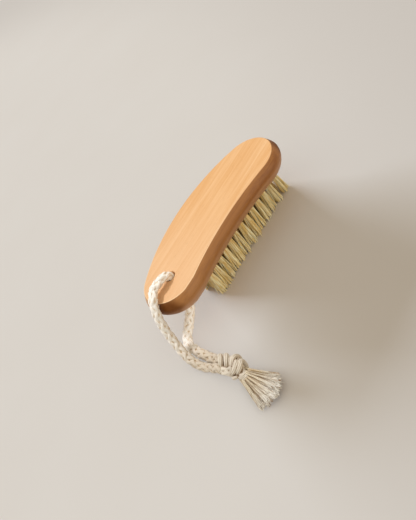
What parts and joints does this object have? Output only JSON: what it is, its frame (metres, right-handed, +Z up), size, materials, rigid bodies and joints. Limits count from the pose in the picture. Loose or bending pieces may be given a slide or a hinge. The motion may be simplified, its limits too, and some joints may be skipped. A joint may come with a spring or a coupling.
{
  "type": "nail brush",
  "caption": "Kidney-shaped wooden nail brush standing on trimmed bristle tufts, with a hanging hole and a knotted, tasselled cotton cord.",
  "frame": {"origin": "middle of the brush's own outline, without its cord, at the plane of the trimmed bristle tips", "axes": "+X along the brush, from the hanging hole to the plain end; +Y towards the bulging back side; +Z up, from the bristle tips to the flat top"},
  "size_m": [0.114, 0.0888, 0.033],
  "materials": {
    "beech": "satin lacquer over straight-grained beech",
    "bristle": "matt natural plant fibre",
    "anchor_wire": "plain drawn flat wire",
    "cotton": "undyed braided cotton cord"
  },
  "bodies": {
    "root": {"wooden_body": "beech", "tuft_row_1": "bristle", "tuft_row_2": "bristle", "tuft_row_3": "bristle", "tuft_row_4": "bristle", "tuft_row_5": "bristle", "anchor_row_1": "anchor_wire", "anchor_row_2": "anchor_wire", "anchor_row_3": "anchor_wire", "anchor_row_4": "anchor_wire", "anchor_row_5": "anchor_wire", "cord_upper_strand": "cotton", "cord_lower_strand": "cotton", "cord_knot": "cotton", "cord_tassel": "cotton"}
  },
  "joints": []
}
